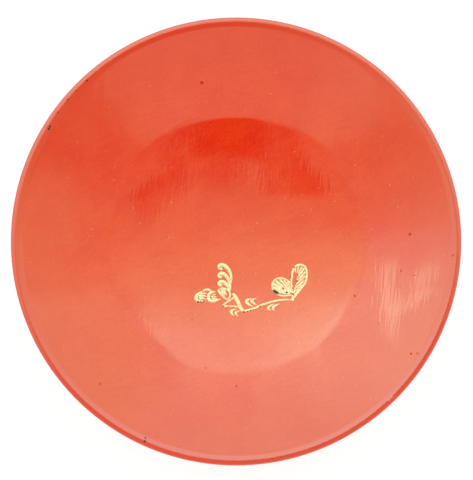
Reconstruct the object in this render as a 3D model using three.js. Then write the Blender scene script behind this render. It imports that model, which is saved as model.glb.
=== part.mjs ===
// Lacquered covered bowl: a turned wooden bowl and its dish-shaped cover. Rims and feet are bound with hemp
// cloth under the lacquer, the lacquer is vermilion inside and out and dark in the foot recesses, and the
// hollow side of the cover carries a raised gold sprig. The cover lies hollow side up on the bowl's mouth.
// Millimetres, +Z up, origin on the axis in the plane of the bowl's standing edge.

import * as THREE from "three";

// Facets of every turned piece, once round the axis
const TURN_STEPS = 36;

// Layers on the wood: lacquer with its ground, hemp cloth, and the bond line between two layers
const COAT = 0.5;
const CLOTH = 0.35;
const BOND = 0.02;

// Cover: lip with a bevel inside its crest and a slope outside it, conical wall, shallow basin, domed back
// and foot ring
const COVER_RADIUS = 60.5;
const COVER_LIP = 1.25;
const COVER_LIP_FALL = 38; // degrees that the lip falls away outside its crest
const COVER_EDGE = 1.2;
const COVER_BEVEL = 1.65;
const COVER_BEVEL_RISE = 0.8;
const COVER_WALL_RISE = 8;
const COVER_WALL_SAG = 0.25;
const COVER_CLOTH_REACH = 7;
const BASIN_RADIUS = 34.6;
const BASIN_SAG = 3.3;
const COVER_BASE = 4;
const COVER_FOOT_RADIUS = 27;
const COVER_FOOT_WALL = 3.4;
const COVER_FOOT_DEPTH = 5;

// Bowl: half-round lip, upright band, rounded belly and foot ring
const BOWL_HEIGHT = 62;
const BOWL_LIP = 1.25;
const BOWL_BAND = 5;
const BOWL_DEPTH = 50.5;
const BOWL_BASE = 4.5;
const BOWL_FOOT_RADIUS = 29.5;
const BOWL_FOOT_WALL = 4.2;

// Hollow curve where a wall runs into its foot, and round corner inside a foot ring
const FOOT_FILLET = 3;
const RECESS_FILLET = 1.5;

// Fits: between the closed cover's lip and the bowl's mouth, and between the cover's back and the bowl's lip
const CLOSING_CLEARANCE = 0.3;
const SEAT_GAP = 0.3;

// Gold sprig: how far it stands off the faceted basin, and how thick the gold is
const GOLD_CLEARANCE = 0.12;
const GOLD = 0.25;
const STROKE_STEPS = 7;

const radians = THREE.MathUtils.degToRad;
const point = (r, z) => new THREE.Vector2(r, z);

// Curves of the meridians

function arc(centre, radiusR, radiusZ, from, to, steps) {
  const clockwise = to < from;
  const curve = new THREE.EllipseCurve(
    centre.x, centre.y, radiusR, radiusZ, radians(from), radians(to), clockwise,
  );
  return curve.getPoints(steps);
}

function bend(from, corner, to, steps) {
  return new THREE.QuadraticBezierCurve(from, corner, to).getPoints(steps);
}

// Heights of a surface at evenly spaced radii
function along(height, from, to, steps) {
  return Array.from({ length: steps + 1 }, (_, i) => {
    const r = from + ((to - from) * i) / steps;
    return point(r, height(r));
  });
}

// Stretches joined end to end, without the point that two of them share
function chain(...stretches) {
  const joined = [];
  for (const p of stretches.flat()) {
    const last = joined.at(-1);
    if (!last || last.distanceTo(p) > 1e-6) joined.push(p);
  }
  return joined;
}

// A meridian moved into the wall on its right-hand side. An end on the axis stays on the axis.
function inset(points, depth) {
  return points.map((p, i) => {
    const mirrored = (q) => point(-q.x, q.y);
    const before = points[i - 1] ?? (p.x === 0 ? mirrored(points[i + 1]) : p);
    const after = points[i + 1] ?? (p.x === 0 ? mirrored(points[i - 1]) : p);
    const arriving = p.clone().sub(before).normalize();
    const leaving = after.clone().sub(p).normalize();
    const heading = arriving.clone().add(leaving).normalize();
    const mitre = heading.dot(arriving.lengthSq() ? arriving : leaving);
    return point(p.x + (heading.y * depth) / mitre, p.y - (heading.x * depth) / mitre);
  });
}

// Solid turned about the Z axis from a meridian loop
function turned(loop) {
  const onAxis = loop[0].x === 0 && loop.at(-1).x === 0;
  const profile = onAxis ? [...loop] : [...loop, loop[0]];
  return new THREE.LatheGeometry(profile.reverse(), TURN_STEPS).rotateX(Math.PI / 2);
}

// The layers of one vessel. The skin runs from the axis over the rim, at index crest, to the standing edge.
// Index clothFrom to clothTo lie under the rim cloth. The recess runs from the standing edge to the axis.
function layers({ skin, crest, clothFrom, clothTo, footTop, recess }) {
  const coatBack = inset(skin, COAT);
  const faceDepth = COAT + BOND;
  const face = inset(skin, faceDepth);
  const clothBack = inset(skin, faceDepth + CLOTH);
  const underCloth = inset(skin, faceDepth + CLOTH + BOND);
  const recessFace = inset(recess, faceDepth);
  const standing = skin.at(-1).y;
  const footFace = skin.at(-1).x - faceDepth;
  const footCloth = [
    point(footFace, footTop),
    point(footFace, standing),
    point(footFace - CLOTH, standing),
    point(footFace - CLOTH, footTop),
  ];
  const footCore = footFace - CLOTH - BOND;
  return {
    core: [
      ...face.slice(0, clothFrom + 1),
      ...underCloth.slice(clothFrom, clothTo + 1),
      ...face.slice(clothTo).filter((p) => p.y > footTop),
      point(footFace, footTop),
      point(footCore, footTop),
      point(footCore, standing),
      ...recessFace,
    ],
    rimCloth: [
      ...face.slice(clothFrom, clothTo + 1),
      ...clothBack.slice(clothFrom, clothTo + 1).reverse(),
    ],
    footCloth,
    insideCoat: [...skin.slice(0, crest + 1), ...coatBack.slice(0, crest + 1).reverse()],
    outsideCoat: [...skin.slice(crest), ...coatBack.slice(crest).reverse()],
    footCoat: [...recess, ...inset(recess, COAT).reverse()],
  };
}

// A foot ring: the curve from the wall into its outer side, and the meridian of the recess inside it
function foot(wallHeight, radius, wall, ceiling, edge) {
  const corner = point(radius, wallHeight(radius));
  const top = point(radius, corner.y - FOOT_FILLET);
  const start = point(radius + FOOT_FILLET, wallHeight(radius + FOOT_FILLET));
  const inner = radius - wall;
  return {
    top: top.y,
    outside: [...bend(start, corner, top, 2), point(radius, edge)],
    recess: chain(
      [point(inner, edge)],
      arc(point(inner - RECESS_FILLET, ceiling - RECESS_FILLET), RECESS_FILLET, RECESS_FILLET, 0, 90, 2),
      [point(0, ceiling)],
    ),
  };
}

// Cover, drawn with the crest of its lip at height 0

const lipFall = radians(COVER_LIP_FALL);
const crest = point(COVER_RADIUS - COVER_LIP, 0);
const wallTop = point(crest.x - COVER_BEVEL, -COVER_BEVEL_RISE);
const edgeRadius = COVER_RADIUS - COVER_EDGE;
const slopeRun = edgeRadius + COVER_EDGE * Math.sin(lipFall) - crest.x;
const edgeCentre = point(edgeRadius, -slopeRun * Math.tan(lipFall) - COVER_EDGE * Math.cos(lipFall));
const creaseHeight = wallTop.y - COVER_WALL_RISE;
const basinFloor = creaseHeight - BASIN_SAG;
const basinSphere = (BASIN_RADIUS ** 2 + BASIN_SAG ** 2) / (2 * BASIN_SAG);
const basinHeight = (r) => basinFloor + basinSphere - Math.sqrt(basinSphere ** 2 - r ** 2);

function wallHeight(r) {
  const share = (r - BASIN_RADIUS) / (wallTop.x - BASIN_RADIUS);
  return creaseHeight + COVER_WALL_RISE * share - 4 * COVER_WALL_SAG * share * (1 - share);
}

const hollowHeight = (r) => (r < BASIN_RADIUS ? basinHeight(r) : wallHeight(r));

// The domed back is the sphere through the base that also touches the round edge from within
const backFloor = basinFloor - COVER_BASE;
const edgeAboveBack = edgeCentre.y - backFloor;
const backSphere =
  (edgeRadius ** 2 + edgeAboveBack ** 2 - COVER_EDGE ** 2) / (2 * (edgeAboveBack - COVER_EDGE));
const backCentre = backFloor + backSphere;
const backHeight = (r) => backCentre - Math.sqrt(backSphere ** 2 - r ** 2);
const backTouch = (Math.atan2(edgeCentre.y - backCentre, edgeRadius) * 180) / Math.PI;
const coverLipOutside = [crest, ...arc(edgeCentre, COVER_EDGE, COVER_EDGE, 90 - COVER_LIP_FALL, backTouch, 4)];

const coverEdge = backFloor - COVER_FOOT_DEPTH;
const coverFoot = foot(backHeight, COVER_FOOT_RADIUS, COVER_FOOT_WALL, backFloor, coverEdge);
const coverClothRadius = crest.x - COVER_CLOTH_REACH;

const coverBasin = along(basinHeight, 0, BASIN_RADIUS, 4);
const coverWallLow = along(wallHeight, BASIN_RADIUS, coverClothRadius, 2);
const coverWallHigh = along(wallHeight, coverClothRadius, wallTop.x, 1);
const coverInside = chain(coverBasin, coverWallLow, coverWallHigh, [crest]);
const coverBackHigh = along(backHeight, coverLipOutside.at(-1).x, coverClothRadius, 1);
const coverBackLow = along(backHeight, coverClothRadius, coverFoot.outside[0].x, 2);
const coverLayers = layers({
  skin: chain(coverInside, coverLipOutside, coverBackHigh, coverBackLow, coverFoot.outside),
  crest: coverInside.length - 1,
  clothFrom: chain(coverBasin, coverWallLow).length - 1,
  clothTo: chain(coverInside, coverLipOutside, coverBackHigh).length - 1,
  footTop: coverFoot.top,
  recess: coverFoot.recess,
});

// Bowl, whose mouth fits inside the lip of the closed cover

const bowlRadius = wallTop.x - CLOSING_CLEARANCE;
const bowlLipCentre = point(bowlRadius - BOWL_LIP, BOWL_HEIGHT - BOWL_LIP);
const bandFoot = bowlLipCentre.y - BOWL_BAND;
const bowlFloor = BOWL_HEIGHT - BOWL_DEPTH;
const bowlCeiling = bowlFloor - BOWL_BASE;
const bellyCentre = point(0, bandFoot);
const insideRadius = bowlRadius - 2 * BOWL_LIP;

function bellyHeight(r) {
  return bandFoot - (bandFoot - bowlCeiling) * Math.sqrt(1 - (r / bowlRadius) ** 2);
}

const bowlFoot = foot(bellyHeight, BOWL_FOOT_RADIUS, BOWL_FOOT_WALL, bowlCeiling, 0);
const bellyEnd = (-Math.acos(bowlFoot.outside[0].x / bowlRadius) * 180) / Math.PI;

const bowlHollow = arc(bellyCentre, insideRadius, bandFoot - bowlFloor, -90, 0, 6);
bowlHollow[0].x = 0;
const bowlLipInside = arc(bowlLipCentre, BOWL_LIP, BOWL_LIP, 180, 90, 2);
const bowlLipOutside = arc(bowlLipCentre, BOWL_LIP, BOWL_LIP, 90, 0, 2);
const bowlBelly = arc(bellyCentre, bowlRadius, bandFoot - bowlCeiling, 0, bellyEnd, 5);
const bowlInside = chain(bowlHollow, bowlLipInside);
const bowlLayers = layers({
  skin: chain(bowlInside, bowlLipOutside, bowlBelly, bowlFoot.outside),
  crest: bowlInside.length - 1,
  clothFrom: bowlHollow.length - 1,
  clothTo: chain(bowlInside, bowlLipOutside).length,
  footTop: bowlFoot.top,
  recess: bowlFoot.recess,
});

// The cover's back touches the round of the bowl's lip, so the cover centres itself on the mouth
const seatReach = backSphere + BOWL_LIP + SEAT_GAP;
const coverHeight = bowlLipCentre.y - backCentre + Math.sqrt(seatReach ** 2 - bowlLipCentre.x ** 2);

// Gold sprig, drawn flat as seen from above, with x to the right and y away from the viewer

// A brush stroke along a curve: it starts and ends in a point and swells between them
function brushStroke(start, control, end, width) {
  const spine = new THREE.QuadraticBezierCurve(
    new THREE.Vector2(...start), new THREE.Vector2(...control), new THREE.Vector2(...end),
  );
  const left = [];
  const right = [];
  for (let i = 1; i < STROKE_STEPS; i++) {
    const t = i / STROKE_STEPS;
    const p = spine.getPoint(t);
    const along = spine.getTangent(t);
    const half = (width / 2) * Math.sin(Math.PI * t) ** 0.6;
    left.push(point(p.x - along.y * half, p.y + along.x * half));
    right.unshift(point(p.x + along.y * half, p.y - along.x * half));
  }
  return new THREE.Shape([spine.getPoint(0), ...right.reverse(), spine.getPoint(1), ...left.reverse()]);
}

// A leaf: two curved edges from its base to its tip, each with its own two handles
function leaf(base, tip, rightHandles, leftHandles) {
  const outline = new THREE.Shape().moveTo(...base);
  outline.bezierCurveTo(...rightHandles[0], ...rightHandles[1], ...tip);
  outline.bezierCurveTo(...leftHandles[1], ...leftHandles[0], ...base);
  return outline;
}

// A flat outline raised into gold and laid on the hollow of the cover
function laidGold(outline) {
  const gold = new THREE.ExtrudeGeometry(outline, {
    depth: GOLD, bevelEnabled: false, curveSegments: STROKE_STEPS,
  });
  const place = gold.getAttribute("position");
  for (let i = 0; i < place.count; i++) {
    const r = Math.hypot(place.getX(i), place.getY(i));
    place.setZ(i, place.getZ(i) + hollowHeight(r) + GOLD_CLEARANCE);
  }
  return gold;
}

const SPRIG = {
  sprig_stem: brushStroke([2.6, -18.5], [7.0, -16.1], [14.7, -15.3], 0.75),
  sprig_branch: brushStroke([-0.9, -13.3], [0.9, -14.5], [2.2, -18.7], 1.3),
  sprig_twig_upper: brushStroke([-1.1, -14.4], [-2.4, -15.5], [-3.9, -16.8], 0.6),
  sprig_twig_lower: brushStroke([-3.6, -17.2], [-1.6, -17.4], [0.1, -17.1], 0.6),
  sprig_leaf_large: leaf(
    [15.6, -14.9], [17.4, -5.6], [[18.0, -12.3], [21.2, -8.1]], [[14.3, -11.3], [14.4, -6.3]],
  ),
  sprig_leaf_small: leaf(
    [14.6, -13.9], [11.6, -9.3], [[14.2, -12.1], [14.0, -9.5]], [[9.0, -15.1], [8.2, -9.5]],
  ),
  sprig_catkin_top: brushStroke([-4.9, -6.3], [-2.2, -4.3], [-1.3, -9.3], 1.5),
  sprig_catkin_middle: brushStroke([-5.0, -8.7], [-2.8, -6.5], [-1.4, -10.9], 1.4),
  sprig_catkin_low: brushStroke([-4.8, -11.1], [-2.6, -8.9], [-1.7, -12.8], 1.4),
  sprig_bud_near: brushStroke([-4.9, -12.5], [-3.2, -12.1], [-2.2, -15.0], 1.7),
  sprig_bud_middle: brushStroke([-6.0, -12.9], [-8.0, -14.5], [-5.5, -15.8], 1.9),
  sprig_bud_far: brushStroke([-6.9, -12.9], [-11.9, -13.1], [-9.0, -15.9], 1.9),
  sprig_bract_1: brushStroke([3.8, -14.9], [1.1, -15.9], [4.3, -17.1], 0.9),
  sprig_bract_2: brushStroke([5.2, -14.9], [2.9, -15.8], [5.5, -16.7], 0.8),
  sprig_bract_3: brushStroke([9.7, -16.5], [7.2, -17.7], [9.0, -18.5], 0.7),
  sprig_bract_4: brushStroke([11.5, -16.4], [9.2, -17.5], [10.5, -18.7], 0.7),
  sprig_bract_5: brushStroke([-0.3, -17.8], [-2.2, -18.9], [-0.6, -19.8], 0.8),
  sprig_bract_6: brushStroke([0.9, -18.2], [-0.9, -19.3], [0.5, -20.2], 0.7),
};

// Finishes

const VERMILION = new THREE.MeshStandardMaterial({ color: 0xe23a1a, roughness: 0.22, metalness: 0 });
const FOOT_LACQUER = new THREE.MeshStandardMaterial({ color: 0x1d1512, roughness: 0.3, metalness: 0 });
const ZELKOVA = new THREE.MeshStandardMaterial({ color: 0x9a6a3c, roughness: 0.7, metalness: 0 });
const HEMP = new THREE.MeshStandardMaterial({ color: 0xb9a57c, roughness: 0.9, metalness: 0 });
const GOLD_POWDER = new THREE.MeshStandardMaterial({ color: 0xf2de86, roughness: 0.35, metalness: 0.8 });

const FINISH = {
  core: ZELKOVA,
  rimCloth: HEMP,
  footCloth: HEMP,
  insideCoat: VERMILION,
  outsideCoat: VERMILION,
  footCoat: FOOT_LACQUER,
};

// Assembly

function piece(name, geometry, material) {
  const mesh = new THREE.Mesh(geometry, material);
  mesh.name = name;
  return mesh;
}

function vessel(prefix, loops) {
  const group = new THREE.Group();
  for (const [layer, loop] of Object.entries(loops)) {
    const name = `${prefix}_${layer.replace(/[A-Z]/g, (c) => "_" + c.toLowerCase())}`;
    group.add(piece(name, turned(loop), FINISH[layer]));
  }
  return group;
}

const bowl = vessel("bowl", bowlLayers);

const cover = vessel("cover", coverLayers);
for (const [name, outline] of Object.entries(SPRIG)) {
  cover.add(piece(name, laidGold(outline), GOLD_POWDER));
}
cover.position.z = coverHeight;

const coveredBowl = new THREE.Group();
coveredBowl.add(bowl, cover);

export default coveredBowl;
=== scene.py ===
"""A lacquered covered bowl: a turned bowl with its dish-shaped cover lying hollow side up on the mouth."""

import math

import bmesh
import bpy
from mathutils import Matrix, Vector


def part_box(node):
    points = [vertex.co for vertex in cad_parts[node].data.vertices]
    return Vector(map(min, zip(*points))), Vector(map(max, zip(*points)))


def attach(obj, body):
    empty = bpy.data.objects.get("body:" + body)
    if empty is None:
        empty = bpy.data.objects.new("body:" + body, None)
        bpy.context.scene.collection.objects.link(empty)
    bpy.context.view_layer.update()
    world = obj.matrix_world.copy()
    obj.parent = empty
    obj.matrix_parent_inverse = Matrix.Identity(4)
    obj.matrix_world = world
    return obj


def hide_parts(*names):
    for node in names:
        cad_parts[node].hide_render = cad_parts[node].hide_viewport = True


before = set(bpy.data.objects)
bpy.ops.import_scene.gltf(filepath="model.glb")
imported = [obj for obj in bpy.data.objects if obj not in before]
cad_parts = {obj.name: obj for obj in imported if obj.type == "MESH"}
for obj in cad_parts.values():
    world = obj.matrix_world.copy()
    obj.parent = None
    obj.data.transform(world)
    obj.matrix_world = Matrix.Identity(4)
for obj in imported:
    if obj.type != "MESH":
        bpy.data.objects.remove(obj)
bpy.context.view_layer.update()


# The wood of the bowl: a thin cup with its foot ring, turned from one block of zelkova.
# Lacquer hides it everywhere but on the flat edge that it stands on, where use has worn it bare.

mm = 0.001
turning_steps = 180
merge_reach = 0.001 * mm
sharp_angle = math.radians(40)
coat = 0.5 * mm
cloth = 0.35 * mm
bond = 0.02 * mm
bowl_mouth = 57.3 * mm
bowl_height = 62 * mm
bowl_lip = 1.25 * mm
bowl_band_foot = 55.75 * mm
bowl_floor = 11.5 * mm
bowl_ceiling = 7 * mm
bowl_foot = 29.5 * mm
bowl_foot_wall = 4.2 * mm
foot_fillet = 3 * mm
foot_fillet_steps = 8
recess_fillet = 1.5 * mm
recess_fillet_steps = 6
bowl_hollow_steps = 40
bowl_lip_steps = 16
bowl_belly_steps = 30


def start_template(x, z):
    """A turner's template starts as one point in the XZ plane."""
    template = bmesh.new()
    return template, template.verts.new((x, 0, z))


def draw_line(template, end, x, z):
    """Carries the template straight on to a point."""
    made = bmesh.ops.extrude_vert_indiv(template, verts=[end])
    made["verts"][0].co = (x, 0, z)
    return made["verts"][0]


def draw_arc(template, end, x, z, degrees, steps, tall=1.0):
    """Carries the template round a centre, anticlockwise with Z up. A tall below 1 makes a flat ellipse."""
    end.co.z = z + (end.co.z - z) / tall
    made = bmesh.ops.spin(
        template, geom=[end], cent=(x, 0, z), axis=(0, -1, 0), angle=math.radians(degrees), steps=steps
    )
    template.verts.index_update()
    for vert in template.verts[end.index :]:
        vert.co.z = z + (vert.co.z - z) * tall
    return [part for part in made["geom_last"] if isinstance(part, bmesh.types.BMVert)][0]


def round_corner(template, corner, reach, segments):
    """Rounds one corner of the template."""
    bmesh.ops.bevel(
        template, geom=[corner], offset=reach, offset_type="OFFSET", segments=segments, profile=0.5,
        affect="VERTICES", material=-1,
    )


def turn(template):
    """Turns the template once round the Z axis and closes the seam and the poles."""
    bmesh.ops.spin(
        template, geom=template.verts[:] + template.edges[:], cent=(0, 0, 0), axis=(0, 0, 1),
        angle=math.tau, steps=turning_steps, use_merge=True,
    )
    bmesh.ops.remove_doubles(template, verts=template.verts[:], dist=merge_reach)
    bmesh.ops.recalc_face_normals(template, faces=template.faces[:])


def place_piece(name, shape, body, material):
    """Puts a finished shape into the scene as a piece that moves with its body."""
    for face in shape.faces:
        face.smooth = True
    for edge in shape.edges:
        edge.smooth = edge.calc_face_angle(0) < sharp_angle
    mesh = bpy.data.meshes.new(name)
    shape.to_mesh(mesh)
    shape.free()
    mesh.materials.append(material)
    piece = bpy.data.objects.new(name, mesh)
    bpy.context.scene.collection.objects.link(piece)
    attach(piece, body)
    return piece


def new_material(name):
    """A material with its node tree, its shader and the object's own coordinates."""
    material = bpy.data.materials.new(name)
    material.use_nodes = True
    tree = material.node_tree
    return material, tree, tree.nodes["Principled BSDF"], add_node(tree, "TexCoord").outputs["Object"]


def add_node(tree, kind, inputs=None, **settings):
    """Adds a node. Inputs are values, or sockets to link from."""
    node = tree.nodes.new("ShaderNode" + kind)
    for name, value in settings.items():
        setattr(node, name, value)
    for name, value in (inputs or {}).items():
        if isinstance(value, bpy.types.NodeSocket):
            tree.links.new(value, node.inputs[name])
        else:
            node.inputs[name].default_value = value
    return node


def blend_colours(tree, share, first, second):
    """Mixes two colours by a share."""
    return add_node(tree, "Mix", {0: share, 6: first, 7: second}, data_type="RGBA").outputs[2]


def blend_values(tree, share, first, second):
    """Mixes two values by a share."""
    return add_node(tree, "Mix", {0: share, 2: first, 3: second}).outputs[0]


def remap(tree, value, low, high, to_low=0.0, to_high=1.0, smooth=True):
    """Stretches a value from one range to another and clamps it."""
    inputs = {0: value, 1: low, 2: high, 3: to_low, 4: to_high}
    kind = "SMOOTHSTEP" if smooth else "LINEAR"
    return add_node(tree, "MapRange", inputs, interpolation_type=kind).outputs[0]


def calculate(tree, operation, first, second=0.0):
    """One step of arithmetic."""
    return add_node(tree, "Math", {0: first, 1: second}, operation=operation).outputs[0]


def from_axis(tree, place):
    """How far a place lies from the turning axis."""
    flat = add_node(tree, "VectorMath", {0: place, 1: (1, 1, 0)}, operation="MULTIPLY").outputs[0]
    return add_node(tree, "VectorMath", {0: flat}, operation="LENGTH").outputs["Value"]


def bowl_outline(inset):
    """The bowl's template from the middle of its floor over the lip to the standing edge, less an inset."""
    inside = bowl_mouth - 2 * bowl_lip + inset
    outside = bowl_mouth - inset
    lip_height = bowl_height - bowl_lip
    template, end = start_template(0, bowl_floor - inset)
    depth = bowl_band_foot - bowl_floor + inset
    end = draw_arc(template, end, 0, bowl_band_foot, 90, bowl_hollow_steps, depth / inside)
    end = draw_line(template, end, inside, lip_height)
    end = draw_arc(template, end, bowl_mouth - bowl_lip, lip_height, -180, bowl_lip_steps)
    end = draw_line(template, end, outside, bowl_band_foot)
    tall = (bowl_band_foot - bowl_ceiling - inset) / outside
    belly_angle = math.degrees(math.acos((bowl_foot + foot_fillet) / outside))
    end = draw_arc(template, end, 0, bowl_band_foot, -belly_angle, bowl_belly_steps, tall)
    root = bowl_band_foot - tall * math.sqrt(outside**2 - (bowl_foot - inset) ** 2)
    corner = draw_line(template, end, bowl_foot - inset, root)
    end = draw_line(template, corner, bowl_foot - inset, 0)
    return template, end, corner


def close_recess(template, end, inner, edge, ceiling, inset):
    """Carries a template from the standing edge round the recess of its foot to the axis."""
    end = draw_line(template, end, inner + inset, edge)
    corner = draw_line(template, end, inner + inset, ceiling + inset)
    draw_line(template, corner, 0, ceiling + inset)
    round_corner(template, corner, recess_fillet, recess_fillet_steps)


wood, tree, shader, place = new_material("zelkova wood")
along_grain = add_node(tree, "Mapping", {"Vector": place, "Scale": (60, 900, 900)}).outputs[0]
rings = add_node(tree, "TexNoise", {"Vector": along_grain, "Scale": 0.35, "Detail": 3, "Distortion": 0.8})
pores = add_node(tree, "TexNoise", {"Vector": along_grain, "Scale": 2.6, "Detail": 4, "Roughness": 0.7})
ring_share = remap(tree, rings.outputs[0], 0.35, 0.65)
pore_share = remap(tree, pores.outputs[0], 0.58, 0.72, 0, 0.8)
tone = blend_colours(tree, ring_share, (0.36, 0.17, 0.07, 1), (0.22, 0.09, 0.035, 1))
tone = blend_colours(tree, pore_share, tone, (0.06, 0.025, 0.012, 1))
dents = add_node(tree, "Bump", {"Strength": 0.4, "Distance": 0.05 * mm, "Height": pores.outputs[0]})
tree.links.new(tone, shader.inputs["Base Color"])
tree.links.new(remap(tree, pores.outputs[0], 0.3, 0.7, 0.45, 0.75), shader.inputs["Roughness"])
tree.links.new(dents.outputs[0], shader.inputs["Normal"])

wood_inset = coat + cloth + 2 * bond
shape, end, corner = bowl_outline(wood_inset)
round_corner(shape, corner, foot_fillet, foot_fillet_steps)
close_recess(shape, end, bowl_foot - bowl_foot_wall, 0, bowl_ceiling, coat + bond)
turn(shape)
bowl_wood = place_piece("bowl_wood", shape, "bowl", wood)
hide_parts("bowl_core")


# The cloth that binds the bowl: strips of plain-woven hemp, soaked in lacquer paste and laid over the rim
# and round the foot before the ground. Only the cut edge of the foot strip shows, at the standing edge.

hemp, tree, shader, place = new_material("hemp cloth")
thread = {"Vector": place, "Scale": 420, "Distortion": 1.5, "Detail": 1}
warp = add_node(tree, "TexWave", thread, bands_direction="Z")
weft = add_node(tree, "TexWave", thread, wave_type="RINGS", rings_direction="Z")
weave = calculate(tree, "MULTIPLY", warp.outputs[1], weft.outputs[1])
tone = blend_colours(tree, weave, (0.20, 0.13, 0.06, 1), (0.50, 0.38, 0.21, 1))
tree.links.new(tone, shader.inputs["Base Color"])
threads = add_node(tree, "Bump", {"Strength": 0.6, "Distance": 0.1 * mm, "Height": weave})
tree.links.new(threads.outputs[0], shader.inputs["Normal"])
shader.inputs["Roughness"].default_value = 0.85


def bind_foot(name, body, outer, low, high):
    """A strip of cloth wound once round a foot ring."""
    template, end = start_template(outer, low)
    first = end
    end = draw_line(template, end, outer, high)
    end = draw_line(template, end, outer - cloth, high)
    end = draw_line(template, end, outer - cloth, low)
    template.edges.new((end, first))
    turn(template)
    return place_piece(name, template, body, hemp)


strip_low, strip_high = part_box("bowl_foot_cloth")
bowl_strip = bind_foot("bowl_foot_strip", "bowl", bowl_foot - coat - bond, strip_low.z, strip_high.z)
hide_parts("bowl_foot_cloth")
for name in ("bowl_rim_cloth", "cover_rim_cloth"):
    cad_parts[name].data.materials.clear()
    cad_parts[name].data.materials.append(hemp)


# The lacquer of the bowl: vermilion over a dark undercoat, brushed on in one sweep and left unpolished.
# One skin runs from the floor of the bowl over the lip and down to the standing edge.

brush_lean = 6
brush_ridge = 0.006 * mm
pit_depth = 2.5
torn_roughness = 0.7
pit_red = (0.55, 0.062, 0.052, 1)


def start_group(name, *results):
    """A group of nodes that takes a place and puts out the named masks."""
    group = bpy.data.node_groups.new(name, "ShaderNodeTree")
    group.interface.new_socket("Place", in_out="INPUT", socket_type="NodeSocketVector")
    for result in results:
        group.interface.new_socket(result, in_out="OUTPUT", socket_type="NodeSocketFloat")
    return group, group.nodes.new("NodeGroupInput").outputs["Place"], group.nodes.new("NodeGroupOutput")


def brush_marks():
    """Ridges that the lacquer brush leaves, almost front to back, pressed deeper in the middle."""
    group, place, result = start_group("brush marks", "Height", "Streak")
    turned = (0, 0, math.radians(brush_lean))
    leaning = add_node(group, "Mapping", {"Vector": place, "Rotation": turned}).outputs[0]
    long = add_node(group, "Mapping", {"Vector": leaning, "Scale": (420, 50, 60)}).outputs[0]
    fine = add_node(group, "Mapping", {"Vector": leaning, "Scale": (1900, 190, 190)}).outputs[0]
    broad_marks = add_node(group, "TexNoise", {"Vector": long, "Scale": 1, "Detail": 1}).outputs[0]
    fine_marks = add_node(group, "TexNoise", {"Vector": fine, "Scale": 1, "Detail": 0}).outputs[0]
    pressed = remap(group, from_axis(group, place), 33 * mm, 36 * mm, 2.0, 1.0)
    height = calculate(group, "MULTIPLY", calculate(group, "ADD", broad_marks, fine_marks), pressed)
    group.links.new(height, result.inputs["Height"])
    group.links.new(fine_marks, result.inputs["Streak"])
    return group


def dust_and_pits():
    """Light motes caught in the lacquer and pits where a mote broke out."""
    group, place, result = start_group("dust and pits", "Dust", "Pits")
    for name, scale, reach, rare in (("Dust", 520, 0.13, 0.55), ("Pits", 150, 0.045, 0.35)):
        cells = add_node(group, "TexVoronoi", {"Vector": place, "Scale": scale})
        near = remap(group, cells.outputs["Distance"], reach, reach * 0.5)
        chosen = remap(group, cells.outputs["Color"], rare, rare + 0.3)
        group.links.new(calculate(group, "MULTIPLY", near, chosen), result.inputs[name])
    return group


marks_group = brush_marks()
motes_group = dust_and_pits()


def spots(tree, place, marks):
    """A mask of small ragged marks, each (x, y, radius) in millimetres as seen from above."""
    raggedness = (0.6 * mm, 0.6 * mm, 0)
    core_share = 0.6
    ragged = add_node(tree, "TexNoise", {"Vector": place, "Scale": 1800, "Detail": 1}).outputs["Color"]
    ragged = add_node(tree, "VectorMath", {0: ragged, 1: (0.5, 0.5, 0.5)}, operation="SUBTRACT").outputs[0]
    moved = add_node(tree, "VectorMath", {0: ragged, 1: raggedness, 2: place}, operation="MULTIPLY_ADD")
    flat = add_node(tree, "VectorMath", {0: moved.outputs[0], 1: (1, 1, 0)}, operation="MULTIPLY").outputs[0]
    mask = 0.0
    for x, y, radius in marks:
        apart = add_node(tree, "VectorMath", {0: flat, 1: (x * mm, y * mm, 0)}, operation="DISTANCE")
        spot = remap(tree, apart.outputs["Value"], radius * mm, core_share * radius * mm)
        mask = calculate(tree, "MAXIMUM", mask, spot)
    return mask


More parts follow.
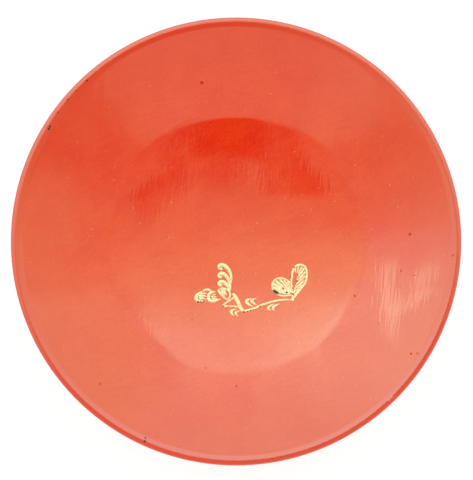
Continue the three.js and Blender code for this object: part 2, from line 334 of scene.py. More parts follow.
def vermilion_lacquer(name):
    """Vermilion lacquer with brush marks, dust and pits. Returns its colour and gloss too, for more wear and
    painted shade.
    """
    material, tree, shader, place = new_material(name)
    marks = add_node(tree, "Group", {"Place": place}, node_tree=marks_group)
    motes = add_node(tree, "Group", {"Place": place}, node_tree=motes_group)
    pits = motes.outputs["Pits"]
    wiping = {"Vector": place, "Rotation": (0, 0, math.radians(25)), "Scale": (5, 1, 1)}
    wiped = add_node(tree, "Mapping", wiping, vector_type="TEXTURE").outputs[0]
    mottling = 0.0
    for vector, scale, share in ((place, 110, 0.35), (place, 2400, 0.45), (wiped, 900, 0.2)):
        noise = add_node(tree, "TexNoise", {"Vector": vector, "Scale": scale, "Detail": 3, "Roughness": 0.6})
        mottling = calculate(tree, "ADD", mottling, calculate(tree, "MULTIPLY", noise.outputs[0], share))
    mottled = remap(tree, mottling, 0.4, 0.6)
    colour = blend_colours(tree, mottled, (0.845, 0.014, 0.0, 1), (0.905, 0.041, 0.004, 1))
    combing = {"Vector": place, "Rotation": (0, 0, math.radians(12)), "Scale": (14, 1, 1)}
    combed = add_node(tree, "Mapping", combing, vector_type="TEXTURE").outputs[0]
    ripple = add_node(tree, "TexNoise", {"Vector": combed, "Scale": 420, "Detail": 2}).outputs[0]
    from_line = calculate(tree, "ABSOLUTE", calculate(tree, "SUBTRACT", ripple, 0.5))
    worn = add_node(tree, "TexNoise", {"Vector": place, "Scale": 55, "Detail": 2}).outputs[0]
    scratched = remap(tree, worn, 0.5, 0.68, 0, 0.25)
    hairlines = calculate(tree, "MULTIPLY", remap(tree, from_line, 0.012, 0.0), scratched)
    colour = blend_colours(tree, hairlines, colour, (0.87, 0.11, 0.06, 1))
    colour = blend_colours(tree, motes.outputs["Dust"], colour, (0.85, 0.20, 0.15, 1))
    colour = blend_colours(tree, pits, colour, pit_red)
    sunk = calculate(tree, "MULTIPLY", pits, pit_depth)
    height = calculate(tree, "SUBTRACT", marks.outputs["Height"], sunk)
    bump = add_node(tree, "Bump", {"Strength": 1, "Distance": brush_ridge, "Height": height})
    tree.links.new(bump.outputs[0], shader.inputs["Normal"])
    gloss = remap(tree, marks.outputs["Streak"], 0.3, 0.7, 0.03, 0.05)
    gloss = remap(tree, pits, 0, 1, gloss, torn_roughness)
    tree.links.new(gloss, shader.inputs["Roughness"])
    # A torn pit mirrors only its own dark red, which the metallic share stands in for.
    tree.links.new(pits, shader.inputs["Metallic"])
    shader.inputs["IOR"].default_value = 1.6
    shader.inputs["Specular IOR Level"].default_value = 0.95
    shader.inputs["Specular Tint"].default_value = (0.55, 0.96, 0.68, 1)
    return material, tree, shader, place, colour, gloss


bowl_vermilion, tree, shader, _, colour, _ = vermilion_lacquer("bowl vermilion lacquer")
tree.links.new(colour, shader.inputs["Base Color"])

shape, _, corner = bowl_outline(0)
round_corner(shape, corner, foot_fillet, foot_fillet_steps)
turn(shape)
bmesh.ops.solidify(shape, geom=shape.faces[:], thickness=coat)
bowl_skin = place_piece("bowl_lacquer", shape, "bowl", bowl_vermilion)
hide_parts("bowl_inside_coat", "bowl_outside_coat")


# The lacquer in the recess of the bowl's foot: the dark undercoat, left without vermilion.
# It is brushed in by itself and lines the recess up to the standing edge.

foot_lacquer, tree, shader, place = new_material("dark foot lacquer")
marks = add_node(tree, "Group", {"Place": place}, node_tree=marks_group)
motes = add_node(tree, "Group", {"Place": place}, node_tree=motes_group)
colour = blend_colours(tree, marks.outputs["Streak"], (0.012, 0.008, 0.006, 1), (0.022, 0.013, 0.010, 1))
colour = blend_colours(tree, motes.outputs["Dust"], colour, (0.10, 0.08, 0.06, 1))
bump = add_node(tree, "Bump", {"Strength": 1, "Distance": 0.004 * mm, "Height": marks.outputs["Height"]})
tree.links.new(colour, shader.inputs["Base Color"])
tree.links.new(bump.outputs[0], shader.inputs["Normal"])
shader.inputs["Roughness"].default_value = 0.3


def line_recess(name, body, inner, edge, ceiling):
    """The lacquer lining of a foot ring's recess."""
    template, end = start_template(inner, edge)
    corner = draw_line(template, end, inner, ceiling)
    draw_line(template, corner, 0, ceiling)
    round_corner(template, corner, recess_fillet, recess_fillet_steps)
    turn(template)
    # An open sheet has no inside, so the side that shows is turned to face down.
    if max(template.faces, key=lambda face: face.calc_center_median().z).normal.z > 0:
        bmesh.ops.reverse_faces(template, faces=template.faces[:])
    bmesh.ops.solidify(template, geom=template.faces[:], thickness=coat)
    return place_piece(name, template, body, foot_lacquer)


bowl_lining = line_recess("bowl_foot_lacquer", "bowl", bowl_foot - bowl_foot_wall, 0, bowl_ceiling)
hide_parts("bowl_foot_coat")


# The wood of the cover: a wide shallow dish with a low foot ring, which is the knob when the cover is closed.
# It is turned from the same zelkova, and its back rests on the round of the bowl's lip. Its foot is bound
# with a strip of hemp and lined with dark lacquer like the bowl's.

cover_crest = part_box("cover_inside_coat")[1].z
cover_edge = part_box("cover_foot_cloth")[0].z
cover_radius = 60.5 * mm
crest_radius = 59.25 * mm
lip_fall = 38
rim_round = 1.2 * mm
bevel_width = 1.65 * mm
bevel_rise = 0.8 * mm
wall_rise = 8.0 * mm
wall_sphere = 300 * mm
basin_radius = 34.6 * mm
basin_sag = 3.3 * mm
cover_base = 4 * mm
cover_foot = 27 * mm
cover_foot_wall = 3.4 * mm
basin_steps = 18
wall_steps = 12
rim_steps = 14
back_steps = 24
crest_sink = 1.24
crease_shift = 0.25
bevel_stop = 0.16
slope_start = 0.28

wall_top_x = crest_radius - bevel_width
wall_top_z = cover_crest - bevel_rise
crease_z = wall_top_z - wall_rise
basin_z = crease_z - basin_sag
basin_sphere = (basin_radius**2 + basin_sag**2) / (2 * basin_sag)
fall = math.radians(lip_fall)
rim_x = cover_radius - rim_round
slope_run = rim_x + rim_round * math.sin(fall) - crest_radius
rim_z = cover_crest - slope_run * math.tan(fall) - rim_round * math.cos(fall)
back_z = basin_z - cover_base
rim_above_back = rim_z - back_z
back_sphere = (rim_x**2 + rim_above_back**2 - rim_round**2) / (2 * (rim_above_back - rim_round))
back_centre = back_z + back_sphere


def cover_outline(inset):
    """The cover's template from its basin over the lip and the back to the standing edge, less an inset."""
    template, end = start_template(0, basin_z - inset)
    basin_angle = math.degrees(math.asin(basin_radius / basin_sphere))
    crease = draw_arc(template, end, 0, basin_z + basin_sphere, basin_angle, basin_steps)
    crease.co = (basin_radius + inset * crease_shift, 0, crease_z - inset)
    run = wall_top_x - basin_radius
    chord = math.hypot(run, wall_rise)
    stand = math.sqrt(wall_sphere**2 - chord**2 / 4)
    centre_x = (basin_radius + wall_top_x) / 2 - stand * wall_rise / chord
    centre_z = (crease_z + wall_top_z) / 2 + stand * run / chord
    wall_angle = math.degrees(2 * math.asin(chord / 2 / wall_sphere))
    bevel_foot = draw_arc(template, crease, centre_x, centre_z, wall_angle, wall_steps)
    crest_z = cover_crest - crest_sink * inset
    bevel_x = crest_radius - bevel_stop * bevel_width
    bevel_z = crest_z - bevel_stop * (crest_z - bevel_foot.co.z)
    bevel_top = draw_line(template, bevel_foot, bevel_x, bevel_z)
    crest = draw_line(template, bevel_top, crest_radius, crest_z)
    rounding = rim_round - inset
    slope_x = rim_x + rounding * math.sin(fall)
    slope_z = rim_z + rounding * math.cos(fall)
    start_x = crest_radius + slope_start * (slope_x - crest_radius)
    start_z = crest_z + slope_start * (slope_z - crest_z)
    slope_top = draw_line(template, crest, start_x, start_z)
    slope_end = draw_line(template, slope_top, slope_x, slope_z)
    touch = math.degrees(math.atan2(rim_z - back_centre, rim_x))
    end = draw_arc(template, slope_end, rim_x, rim_z, touch - 90 + lip_fall, rim_steps)
    back = back_sphere - inset
    fillet_angle = math.degrees(math.asin((cover_foot + foot_fillet) / back))
    end = draw_arc(template, end, 0, back_centre, -(90 + touch - fillet_angle), back_steps)
    corner_z = back_centre - math.sqrt(back**2 - (cover_foot - inset) ** 2)
    corner = draw_line(template, end, cover_foot - inset, corner_z)
    end = draw_line(template, corner, cover_foot - inset, cover_edge)
    for bend, reach, steps in ((crease, 1.3, 5), (bevel_foot, 0.45, 4), (crest, 0.2, 3), (slope_end, 0.1, 2)):
        round_corner(template, bend, reach * mm, steps)
    round_corner(template, corner, foot_fillet, foot_fillet_steps)
    return template, end


shape, end = cover_outline(wood_inset)
close_recess(shape, end, cover_foot - cover_foot_wall, cover_edge, back_z, coat + bond)
turn(shape)
cover_wood = place_piece("cover_wood", shape, "cover", wood)
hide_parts("cover_core")

strip_low, strip_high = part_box("cover_foot_cloth")
cover_strip = bind_foot("cover_foot_strip", "cover", cover_foot - coat - bond, strip_low.z, strip_high.z)
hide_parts("cover_foot_cloth")

cover_lining = line_recess("cover_foot_lacquer", "cover", cover_foot - cover_foot_wall, cover_edge, back_z)
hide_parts("cover_foot_coat")


# The lacquer of the cover: one vermilion skin over basin, wall, lip and back, like the bowl's.
# Years of closing have chipped the crest of the lip down to the dark undercoat. A dark line of painted shade
# runs just inside the crest on the far side.

cover_vermilion, tree, shader, place, colour, gloss = vermilion_lacquer("cover vermilion lacquer")
radius = from_axis(tree, place)
# Painted shade: a dark line just inside the crest, on the far side of the lip only, broken up by noise.
crest_shade_radius = crest_radius - 0.25 * mm
off_line = calculate(tree, "ABSOLUTE", calculate(tree, "SUBTRACT", radius, crest_shade_radius))
crest_shade_breakup = add_node(tree, "TexNoise", {"Vector": place, "Scale": 180, "Detail": 4, "Roughness": 0.65}).outputs[0]
far_side = remap(tree, add_node(tree, "SeparateXYZ", {0: place}).outputs["Y"], -5 * mm, 25 * mm)
crest_shade_line = remap(tree, off_line, 0.18 * mm, 0.05 * mm)
for share in (remap(tree, crest_shade_breakup, 0.42, 0.62, 0.05, 0.7), far_side):
    crest_shade_line = calculate(tree, "MULTIPLY", crest_shade_line, share)
# Painted shade: the vermilion turns a darker red up the wall, and the lip is a darker red than the basin.
lip_start = 57 * mm
wall_shade = remap(tree, radius, 34 * mm, lip_start, 0, 0.45)
lip_shade = remap(tree, radius, lip_start, 58.5 * mm)
colour = blend_colours(tree, crest_shade_line, colour, (0.36, 0.016, 0.008, 1))
colour = blend_colours(tree, wall_shade, colour, (0.74, 0.026, 0.004, 1))
colour = blend_colours(tree, lip_shade, colour, (0.79, 0.026, 0.005, 1))
facing = add_node(tree, "SeparateXYZ", {0: add_node(tree, "TexCoord").outputs["Normal"]}).outputs["Z"]
upward = calculate(tree, "GREATER_THAN", facing, 0.0)
pitted = spots(tree, place, (
    (-9.3, 43.3, 0.5), (0.1, -38.9, 0.3), (-36.4, -38.6, 0.3), (-8.2, -34.0, 0.25), (46.8, 1.9, 0.42),
    (46.8, -30.6, 0.26), (48.4, -30.6, 0.28), (58.2, -4.2, 0.27), (47.9, -9.3, 0.25), (44.4, -8.0, 0.25),
    (32.1, -14.4, 0.3),
))
chipped = spots(tree, place, (
    (-50.4, 29.9, 0.35), (-50.1, 30.5, 0.3), (-48.0, 34.3, 0.2), (-45.3, 37.8, 0.28), (-43.1, 40.3, 0.25),
    (-40.2, 43.1, 0.3), (-24.3, -54.1, 0.4), (-24.2, -53.2, 0.28),
))
scuffed = spots(tree, place, ((40.8, -43.0, 0.5), (41.6, -42.3, 0.4)))
undercoat = (0.10, 0.060, 0.042, 1)
for mask, tone in ((pitted, pit_red), (chipped, undercoat), (scuffed, (0.84, 0.20, 0.16, 1))):
    colour = blend_colours(tree, calculate(tree, "MULTIPLY", mask, upward), colour, tone)
broken = calculate(tree, "MULTIPLY", calculate(tree, "MAXIMUM", pitted, chipped), upward)
fully_broken = 0.6
tree.links.new(remap(tree, broken, 0, fully_broken, gloss, torn_roughness), shader.inputs["Roughness"])
tree.links.new(remap(tree, broken, 0, fully_broken), shader.inputs["Metallic"])
tree.links.new(colour, shader.inputs["Base Color"])

shape, _ = cover_outline(0)
turn(shape)
bmesh.ops.solidify(shape, geom=shape.faces[:], thickness=coat)
cover_skin = place_piece("cover_lacquer", shape, "cover", cover_vermilion)
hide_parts("cover_inside_coat", "cover_outside_coat")


# The gold sprig on the basin: strokes drawn in lacquer with a fine brush and sprinkled with gold powder
# while wet. The powder stands a little proud, and where it has rubbed off the dark drawing shows.

gold, tree, shader, place = new_material("sprinkled gold")
grains = add_node(tree, "TexNoise", {"Vector": place, "Scale": 2600, "Detail": 2}).outputs[0]
rubbed = spots(tree, place, (
    (14.6, -8.0, 0.4), (14.65, -8.7, 0.4), (14.7, -9.2, 0.3), (15.7, -6.5, 0.25), (15.1, -7.2, 0.25),
    (16.75, -8.5, 0.35), (16.3, -10.2, 0.4), (16.05, -10.9, 0.35), (15.4, -12.2, 0.4), (15.4, -13.75, 0.4),
    (14.35, -14.9, 0.35), (10.35, -12.8, 0.45), (10.8, -13.2, 0.5), (11.3, -13.5, 0.4), (12.8, -12.2, 0.3),
    (13.7, -13.25, 0.4), (-10.2, -15.9, 0.35), (-9.5, -15.95, 0.4), (-8.7, -15.8, 0.35), (-3.65, -17.0, 0.35),
    (-2.1, -17.25, 0.25), (-0.8, -17.2, 0.25), (2.2, -18.6, 0.4), (3.05, -18.5, 0.3), (3.9, -18.3, 0.35),
    (4.6, -18.0, 0.3), (6.5, -17.2, 0.3), (9.8, -16.2, 0.25),
))
tone = blend_colours(tree, remap(tree, grains, 0.3, 0.7), (0.67, 0.53, 0.22, 1), (0.85, 0.81, 0.53, 1))
tree.links.new(blend_colours(tree, rubbed, tone, (0.035, 0.02, 0.008, 1)), shader.inputs["Base Color"])
tree.links.new(remap(tree, rubbed, 0, 1, 0.85, 0), shader.inputs["Metallic"])
powder = add_node(tree, "Bump", {"Strength": 0.6, "Distance": 0.02 * mm, "Height": grains})
tree.links.new(powder.outputs[0], shader.inputs["Normal"])
shader.inputs["Roughness"].default_value = 0.45

gold_lift = 0.005 * mm
gold_fullness = 0.28
half_width = 0.5 * mm


def lay_gold(name, strokes, *nodes):
    """Brush strokes, each a list of (x, y, width) in millimetres, laid on the basin in raised gold."""
    drawing = bpy.data.curves.new(name, "CURVE")
    drawing.dimensions = "3D"
    drawing.bevel_depth = half_width
    drawing.bevel_resolution = 2
    drawing.use_fill_caps = True
    drawing.resolution_u = 6
    for stroke in strokes:
        spline = drawing.splines.new("BEZIER")
        spline.bezier_points.add(len(stroke) - 1)
        for knot, (x, y, width) in zip(spline.bezier_points, stroke):
            knot.co = (x * mm, y * mm, 0)
            knot.radius = width
            knot.handle_left_type = "AUTO"
            knot.handle_right_type = "AUTO"
    sketch = bpy.data.objects.new(name, drawing)
    bpy.context.scene.collection.objects.link(sketch)
    bpy.context.view_layer.update()
    swept = bpy.data.meshes.new_from_object(sketch.evaluated_get(bpy.context.evaluated_depsgraph_get()))
    bpy.data.objects.remove(sketch)
    shape = bmesh.new()
    shape.from_mesh(swept)
    bmesh.ops.remove_doubles(shape, verts=shape.verts[:], dist=merge_reach)
    cut = bmesh.ops.bisect_plane(
        shape, geom=shape.verts[:] + shape.edges[:] + shape.faces[:], plane_co=(0, 0, 0),
        plane_no=(0, 0, 1), clear_inner=True,
    )
    rim = [part for part in cut["geom_cut"] if isinstance(part, bmesh.types.BMEdge)]
    bmesh.ops.edgeloop_fill(shape, edges=rim)
    bmesh.ops.recalc_face_normals(shape, faces=shape.faces[:])
    for vert in shape.verts:
        rise = basin_sphere - math.sqrt(basin_sphere**2 - vert.co.x**2 - vert.co.y**2)
        vert.co.z = vert.co.z * gold_fullness + basin_z + rise + gold_lift
    piece = place_piece(name, shape, "cover", gold)
    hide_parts(*nodes)


lay_gold(
    "gold_stem",
    [
        [(2.05, -18.45, 0.75), (3.4, -18.1, 0.65), (5.0, -17.6, 0.6), (6.55, -16.85, 0.6),
         (8.85, -16.05, 0.55), (11.1, -15.5, 0.5), (13.4, -15.25, 0.45), (15.4, -15.25, 0.45)],
        [(15.3, -14.4, 0.4), (15.4, -15.3, 0.75), (15.25, -15.6, 0.5)],
        [(-0.85, -13.5, 0.4), (-0.45, -14.05, 1.0), (0.25, -15.3, 1.1), (1.0, -16.9, 1.1),
         (1.8, -18.15, 0.95), (2.3, -18.45, 0.6)],
        [(-0.55, -14.65, 0.4), (-2.05, -15.65, 0.45), (-3.75, -16.9, 0.35)],
        [(-3.75, -16.95, 0.45), (-1.8, -17.0, 0.45), (0.7, -17.15, 0.4)],
    ],
    "sprig_stem", "sprig_branch", "sprig_twig_upper", "sprig_twig_lower",
)
lay_gold(
    "gold_leaf_large",
    [
        [(15.4, -14.85, 0.4), (15.25, -12.6, 0.4), (15.0, -10.8, 0.45), (15.1, -8.95, 0.6), (15.4, -7.4, 0.7),
         (16.1, -6.25, 0.65), (17.25, -5.75, 0.55), (18.35, -6.0, 0.5), (19.1, -7.15, 0.5),
         (19.15, -8.95, 0.5), (18.8, -10.55, 0.5), (17.9, -11.9, 0.5), (16.8, -13.3, 0.5),
         (15.65, -14.85, 0.4)],
        [(15.4, -14.4, 0.35), (16.0, -12.15, 0.3), (16.55, -9.65, 0.25), (16.8, -8.05, 0.15)],
        [(15.75, -13.95, 0.25), (16.55, -13.15, 0.4), (17.35, -12.35, 0.35)],
        [(15.9, -13.05, 0.25), (16.9, -12.25, 0.5), (18.0, -11.25, 0.45)],
        [(16.15, -12.05, 0.25), (17.25, -11.2, 0.6), (18.55, -10.0, 0.5)],
        [(16.3, -11.1, 0.25), (17.45, -10.1, 0.6), (18.8, -8.75, 0.5)],
        [(16.5, -10.15, 0.25), (17.55, -9.1, 0.6), (18.85, -7.65, 0.5)],
        [(16.65, -9.2, 0.25), (17.55, -8.05, 0.6), (18.6, -6.75, 0.5)],
        [(16.8, -8.3, 0.25), (17.45, -7.15, 0.55), (18.0, -6.2, 0.5)],
        [(16.65, -7.85, 0.25), (16.8, -6.95, 0.45), (17.0, -6.15, 0.45)],
        [(16.2, -7.95, 0.2), (16.1, -7.15, 0.4), (16.2, -6.5, 0.45)],
    ],
    "sprig_leaf_large",
)
lay_gold(
    "gold_leaf_small",
    [
        [(15.2, -13.95, 0.3), (13.15, -14.2, 0.45), (11.35, -13.85, 0.5), (10.25, -12.8, 0.5),
         (9.8, -11.45, 0.5), (10.2, -10.2, 0.5), (11.35, -9.45, 0.5), (12.6, -9.4, 0.45), (13.95, -10.0, 0.4),
         (14.8, -10.8, 0.35), (15.15, -12.35, 0.35), (15.3, -13.75, 0.3)],
        [(14.95, -13.4, 0.15), (14.55, -11.7, 0.35), (13.95, -10.3, 0.4)],
        [(14.85, -13.3, 0.15), (13.95, -11.5, 0.45), (13.0, -9.9, 0.55)],
        [(14.8, -13.35, 0.15), (13.4, -11.6, 0.5), (11.85, -9.65, 0.75)],
        [(14.7, -13.4, 0.15), (12.9, -11.95, 0.55), (10.7, -10.1, 0.9)],
        [(14.6, -13.5, 0.15), (12.55, -12.35, 0.55), (10.05, -11.0, 0.95)],
        [(14.55, -13.6, 0.15), (12.5, -12.85, 0.55), (10.0, -11.95, 0.95)],
        [(14.5, -13.75, 0.15), (12.6, -13.4, 0.5), (10.5, -12.85, 0.8)],
    ],
    "sprig_leaf_small",
)
lay_gold(
    "gold_catkin",
    [
        [(-3.75, -6.95, 0.5), (-4.45, -6.6, 1.0), (-4.45, -6.0, 1.2), (-3.7, -5.75, 1.25),
         (-2.5, -6.45, 1.15), (-1.6, -7.85, 0.9), (-1.3, -9.3, 0.65), (-1.35, -10.8, 0.2)],
        [(-3.8, -9.2, 0.5), (-4.45, -8.95, 1.0), (-4.45, -8.35, 1.15), (-3.75, -8.1, 1.2), (-2.8, -8.6, 1.1),
         (-2.0, -9.85, 0.85), (-1.55, -11.35, 0.55), (-1.6, -12.8, 0.2)],
        [(-3.7, -11.4, 0.5), (-4.4, -11.15, 1.0), (-4.45, -10.6, 1.1), (-3.75, -10.35, 1.15),
         (-2.75, -10.85, 1.05), (-2.05, -11.8, 0.75), (-1.8, -12.8, 0.45), (-1.85, -13.5, 0.2)],
    ],
    "sprig_catkin_top", "sprig_catkin_middle", "sprig_catkin_low",
)
lay_gold(
    "gold_buds",
    [
        [(-4.9, -12.55, 0.5), (-4.2, -13.5, 0.85), (-3.3, -14.5, 0.6), (-2.7, -15.1, 0.25)],
        [(-4.2, -12.25, 0.3), (-3.5, -13.15, 0.6), (-2.95, -14.05, 0.25)],
        [(-3.6, -12.15, 0.3), (-3.0, -13.05, 0.55), (-2.55, -13.95, 0.2)],
        [(-4.75, -12.35, 0.3), (-3.65, -12.1, 0.5), (-2.4, -12.5, 0.55), (-1.65, -13.5, 0.5),
         (-1.8, -14.65, 0.45), (-2.7, -15.2, 0.3)],
        [(-5.55, -13.05, 0.3), (-6.8, -13.3, 0.8), (-7.4, -14.3, 0.9), (-7.25, -15.3, 0.9),
         (-6.15, -15.65, 0.8), (-5.1, -15.3, 0.6), (-4.15, -15.1, 0.1)],
        [(-6.35, -13.75, 0.6), (-5.9, -13.8, 0.45), (-5.45, -13.85, 0.15)],
        [(-6.7, -14.45, 0.75), (-6.0, -14.45, 0.6), (-5.25, -14.4, 0.15)],
        [(-6.45, -15.15, 0.7), (-5.8, -15.05, 0.55), (-5.1, -14.9, 0.15)],
        [(-9.1, -12.85, 0.25), (-8.15, -12.55, 0.75), (-7.15, -12.65, 0.7), (-6.6, -13.05, 0.2)],
        [(-9.2, -13.1, 0.5), (-10.2, -13.75, 0.9), (-10.75, -14.85, 1.0), (-10.4, -15.55, 0.9),
         (-9.3, -15.65, 0.6), (-8.05, -15.6, 0.2)],
        [(-9.65, -13.65, 0.75), (-8.6, -13.5, 0.5), (-7.85, -13.6, 0.15)],
        [(-10.0, -14.3, 0.8), (-8.85, -14.2, 0.6), (-7.9, -14.3, 0.15)],
        [(-10.0, -15.0, 0.8), (-8.95, -14.9, 0.6), (-8.0, -15.1, 0.15)],
    ],
    "sprig_bud_near", "sprig_bud_middle", "sprig_bud_far",
)
lay_gold(
    "gold_bracts",
    [
        [(4.1, -14.9, 0.15), (2.85, -15.65, 0.95), (3.4, -16.45, 0.7), (4.6, -17.15, 0.1)],
        [(5.45, -14.8, 0.15), (4.3, -15.6, 0.85), (4.8, -16.2, 0.6), (5.7, -16.7, 0.1)],
        [(10.25, -16.4, 0.1), (8.85, -17.3, 0.75), (8.7, -17.75, 0.5), (9.5, -18.1, 0.1)],
        [(11.75, -16.35, 0.1), (10.25, -17.2, 0.75), (10.0, -17.8, 0.55), (10.5, -18.2, 0.1)],
        [(0.2, -17.7, 0.1), (-1.25, -18.45, 0.8), (-1.1, -19.05, 0.6), (-0.45, -19.65, 0.1)],
        [(1.15, -18.2, 0.1), (-0.1, -18.85, 0.7), (0.05, -19.3, 0.5), (0.65, -19.75, 0.1)],
    ],
    "sprig_bract_1", "sprig_bract_2", "sprig_bract_3", "sprig_bract_4", "sprig_bract_5", "sprig_bract_6",
)


# The stage: a wide pale floor, a long lens almost overhead and a sky of soft boxes at the back and the sides.
# Only glossy rays see the pattern of the sky, and all other light is an even white. The hollow of the cover
# mirrors the left of the sky at its right, so a panel is named by the side of the picture where it shows.

floor_reach = 3
floor_glow = 0.4
floor_material, tree, shader, _ = new_material("pale floor")
shader.inputs["Base Color"].default_value = (0.85, 0.85, 0.85, 1)
shader.inputs["Roughness"].default_value = 0.9
path = add_node(tree, "LightPath")
seen = calculate(tree, "MAXIMUM", path.outputs["Is Camera Ray"], path.outputs["Is Glossy Ray"])
seen = calculate(tree, "MAXIMUM", seen, path.outputs["Is Transmission Ray"])
glow = add_node(tree, "Emission", {"Color": (1, 1, 1, 1), "Strength": floor_glow})
lit = add_node(tree, "AddShader", {0: shader.outputs[0], 1: glow.outputs[0]})
choice = add_node(tree, "MixShader", {0: seen, 1: shader.outputs[0], 2: lit.outputs[0]})
tree.links.new(choice.outputs[0], tree.nodes["Material Output"].inputs["Surface"])
shape = bmesh.new()
bmesh.ops.create_grid(shape, x_segments=1, y_segments=1, size=floor_reach)
mesh = bpy.data.meshes.new("floor")
shape.to_mesh(mesh)
shape.free()
mesh.materials.append(floor_material)
floor = bpy.data.objects.new("floor", mesh)
bpy.context.scene.collection.objects.link(floor)

world = bpy.data.worlds.new("studio")
world.use_nodes = True
bpy.context.scene.world = world
tree = world.node_tree
heading = add_node(tree, "SeparateXYZ", {0: add_node(tree, "TexCoord").outputs["Generated"]})
heading_x, heading_y, heading_z = heading.outputs
across = calculate(tree, "ARCTAN2", heading_x, heading_z)
back = calculate(tree, "ARCTAN2", heading_y, heading_z)


def soft_step(value, low, high, blur):
    """One inside a range of tilts in degrees and none outside, with soft edges."""
    rising = remap(tree, value, math.radians(low - blur), math.radians(low + blur))
    falling = remap(tree, value, math.radians(high + blur), math.radians(high - blur))
    return calculate(tree, "MULTIPLY", rising, falling)


def soft_box(left, right, near, far, side_blur, end_blur, strength, side=across, end=back):
    """A panel in the sky, by its tilts from straight up in degrees. A negative strength dims."""
    width = soft_step(side, left, right, side_blur)
    panel = calculate(tree, "MULTIPLY", width, soft_step(end, near, far, end_blur))
    return calculate(tree, "MULTIPLY", panel, strength)


def slope(value, low, high, to_low, to_high):
    """A steady rise or fall of the light between two tilts in degrees."""
    return remap(tree, value, math.radians(low), math.radians(high), to_low, to_high, smooth=False)


def lean(value, other, rate):
    """One tilt less a share of the other, for panels whose sides lean."""
    return calculate(tree, "SUBTRACT", value, calculate(tree, "MULTIPLY", other, rate))


bar_rate = 210
fringe_depth = 0.025
bars = calculate(tree, "SINE", calculate(tree, "MULTIPLY", across, bar_rate))
slats = remap(tree, bars, -1, 1, 0.5, 1.5, smooth=False)
fringe = lean(across, bars, fringe_depth)
far_left_edge = soft_step(lean(fringe, back, -0.29), -60, 20.1, 0.6)
far_wall = soft_box(-28.3, 60, -40, -18, 0.7, 2, 0.27, side=fringe)

# Slow changes over the whole sky come first, then bright and dim panels.
mirrored = slope(back, -12, 3, 0.62, 1.06)
for part in (
    slope(back, 3, 12, 0, 0.5),
    slope(back, 12, 16, 0, 0.16),
    slope(across, -15, -38, 0, 0.42),
    slope(across, 15, 38, 0, -0.08),
    slope(back, 30, 46, 0, 0.15),
    soft_box(-21, 14.3, 16.4, 36, 0.6, 6.4, 0.85, side=fringe),
    soft_box(-24, 2, 4, 30, 6, 5, 0.24),
    soft_box(-40, -19, 18, 40, 6, 6, 0.4),
    soft_box(-22, -6, 17, 36, 4, 6, 0.3),
    calculate(tree, "MULTIPLY", far_wall, far_left_edge),
    soft_box(10, 22, -26, -19, 3, 3, 0.1),
    soft_box(-22, -10, -26, -19, 3, 3, 0.1),
    soft_box(16, 42, 2, 20, 4, 4, -0.2),
    soft_box(24, 42, 9, 19, 4, 3, -0.2),
    soft_box(32, 44, -7, 8, 3, 4, 0.1),
    soft_box(34.3, 50, -8, 14, 1, 4, 0.13),
    soft_box(-24, -9, 6, 28, 3, 4, 0.2),
    soft_box(-40, -28, -18, -6, 4, 4, -0.12),
    soft_box(-16, -4, 36, 50, 4, 4, 0.12),
    soft_box(-40, -14, -6, 5, 5, 3, -0.17),
    soft_box(-20.5, -13, 31.5, 36.5, 2.5, 2.5, -0.25),
    soft_box(-20, -16, 31, 34, 1.5, 1.5, -0.2),
    soft_box(-17.5, -13.5, 16, 24, 1.2, 3, 0.2),
    soft_box(-5, 4, 18, 24, 4, 3, -0.22),
    soft_box(11.5, 15, 17, 25, 1, 2, 0.15),
    soft_box(-35.3, -34, 12.5, 28, 0.2, 3, 1.25, side=lean(across, back, 0.07)),
    soft_box(-41.6, -40.2, 13.4, 18, 0.2, 3, 1.15, side=lean(across, back, 0.25)),
    soft_box(-50.6, -49.3, 18.4, 23.5, 0.2, 1, 1.1, side=lean(across, back, 0.69)),
    soft_box(-4, 4, 3, 11, 4, 4, 0.08),
):
    mirrored = calculate(tree, "ADD", mirrored, part)

# Dark panels near the middle, most of which the basin mirrors. Where they overlap, the darkest counts.
left_arm = lean(back, across, 0.8)
right_arm = lean(back, across, -0.92)
right_side = soft_box(-13.9, -8.5, -22, -1.2, 0.7, 1, 0.65)
right_fade = soft_box(-15.5, -9, -22, -5, 1.5, 2, 0.08)
shade = soft_box(-1.5, 5, -17.5, -7.6, 0.6, 1.4, 0.88)
for panel in (
    calculate(tree, "MULTIPLY", slats, soft_box(-1.5, 6, -12, -3, 1, 2.4, 0.47)),
    calculate(tree, "MULTIPLY", slats, soft_box(-10.5, -4, -16, -1.5, 0.7, 1, 0.48)),
    soft_box(-11, -8.2, -9, -2, 0.7, 1, 0.6),
    soft_box(8.2, 16, -14.3, -11.6, 0.8, 0.5, 0.62, end=left_arm),
    soft_box(-5, 6.8, -17.5, -6.8, 0.5, 1.4, 0.76),
    calculate(tree, "MULTIPLY", slats, soft_box(6, 12.3, -18, -5.4, 0.6, 1.6, 0.5)),
    soft_box(6.5, 15, -14, -8.2, 1.5, 2, 0.44, end=left_arm),
    soft_box(10, 22, -33, -13, 2.5, 1, 0.22, end=left_arm),
    calculate(tree, "MULTIPLY", soft_step(right_arm, -16.4, 4, 0.8), right_side),
    calculate(tree, "MULTIPLY", soft_step(right_arm, -36, -16, 1), right_fade),
):
    shade = calculate(tree, "MAXIMUM", shade, panel)
mirrored = calculate(tree, "MULTIPLY", mirrored, calculate(tree, "SUBTRACT", 1.0, shade))

# Below the pattern the sky is plain bands round the mirrored view line. They are for the lip and for
# views from the side.
mirror_up = 0.995
mirror_back = 0.105
band_blur = 0.02
above = calculate(tree, "MULTIPLY", heading_z, mirror_up)
above = calculate(tree, "ADD", above, calculate(tree, "MULTIPLY", heading_y, mirror_back))


def over(edge):
    """One in the sky above the edge of a band and none below it, with a soft change."""
    return remap(tree, above, edge - band_blur, edge + band_blur)


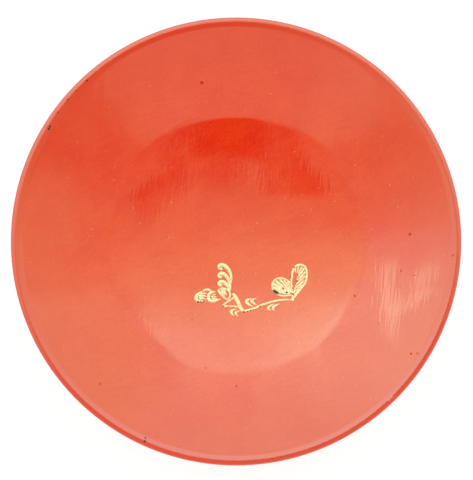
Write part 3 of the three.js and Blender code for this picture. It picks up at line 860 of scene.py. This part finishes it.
pattern_end = 0.69
leaning = lean(heading_y, heading_x, 0.27)
lying = lean(heading_y, heading_x, 0.17)
glint = remap(tree, lean(heading_y, heading_x, 1.2), 1.1, 1.4, 0, 0.65, smooth=False)
upper_band = calculate(tree, "ADD", remap(tree, leaning, -0.9, 0.9, 0.05, 2.83, smooth=False), glint)
gap = remap(tree, heading_y, -0.9, 0.9, 0.6, 0.95, smooth=False)
lower_front = remap(tree, lying, -0.45, 0, 0.68, 1.4, smooth=False)
lower_band = calculate(tree, "ADD", lower_front, remap(tree, lying, 0, 1, 0, 0.9, smooth=False))
for band, edge in ((upper_band, pattern_end), (gap, 0.62), (lower_band, 0.25)):
    mirrored = blend_values(tree, over(edge), band, mirrored)
path = add_node(tree, "LightPath")
light = blend_values(tree, path.outputs["Is Glossy Ray"], 1.0, mirrored)

# The light is cooler at the back, at the front and on one side than in the middle.
cool = slope(back, 9, 24, 0, 1)
right_cool = calculate(tree, "MULTIPLY", slope(across, -20, -34, 0, 1), slope(back, -10, 8, 0, 1))
low_right_cool = calculate(tree, "MULTIPLY", slope(across, -9, -15, 0, 1), slope(back, 12, 18, 0, 1))
for part in (slope(back, -16, -26, 0, 0.6), right_cool, low_right_cool):
    cool = calculate(tree, "MAXIMUM", cool, part)
cool = calculate(tree, "MULTIPLY", cool, slope(across, 14, 26, 1, 0.4))
warmth = blend_colours(tree, cool, (1, 0.98, 0.76, 1), (1, 0.98, 1.0, 1))
ring_cool = remap(tree, leaning, -0.3, 0.7, smooth=False)
ring_warmth = blend_colours(tree, ring_cool, (0.95, 0.97, 0.68, 1), (0.85, 0.97, 1.15, 1))
ring_warmth = blend_colours(tree, over(0.45), (0.95, 0.97, 0.97, 1), ring_warmth)
warmth = blend_colours(tree, over(pattern_end), ring_warmth, warmth)
warmth = blend_colours(tree, path.outputs["Is Glossy Ray"], (1, 0.99, 0.97, 1), warmth)
warmth = blend_colours(tree, path.outputs["Is Camera Ray"], warmth, (1, 1, 1, 1))
sky = tree.nodes["Background"]
tree.links.new(warmth, sky.inputs["Color"])
tree.links.new(light, sky.inputs["Strength"])

lens = 250
sensor = 36
elevation = 84
picture_size = 480
pixels_per_metre = 3725
pixels_aside = 0.45
distance = picture_size * lens / sensor / pixels_per_metre
camera_data = bpy.data.cameras.new("camera")
camera_data.lens = lens
camera_data.sensor_width = sensor
camera_data.shift_x = pixels_aside / picture_size
camera = bpy.data.objects.new("camera", camera_data)
view_line = Vector((0, -math.cos(math.radians(elevation)), math.sin(math.radians(elevation))))
camera.location = Vector((0, 0, rim_z)) + view_line * distance
camera.rotation_euler = view_line.to_track_quat("Z", "Y").to_euler()
bpy.context.scene.collection.objects.link(camera)
bpy.context.scene.camera = camera
bpy.context.scene.view_settings.view_transform = "Standard"
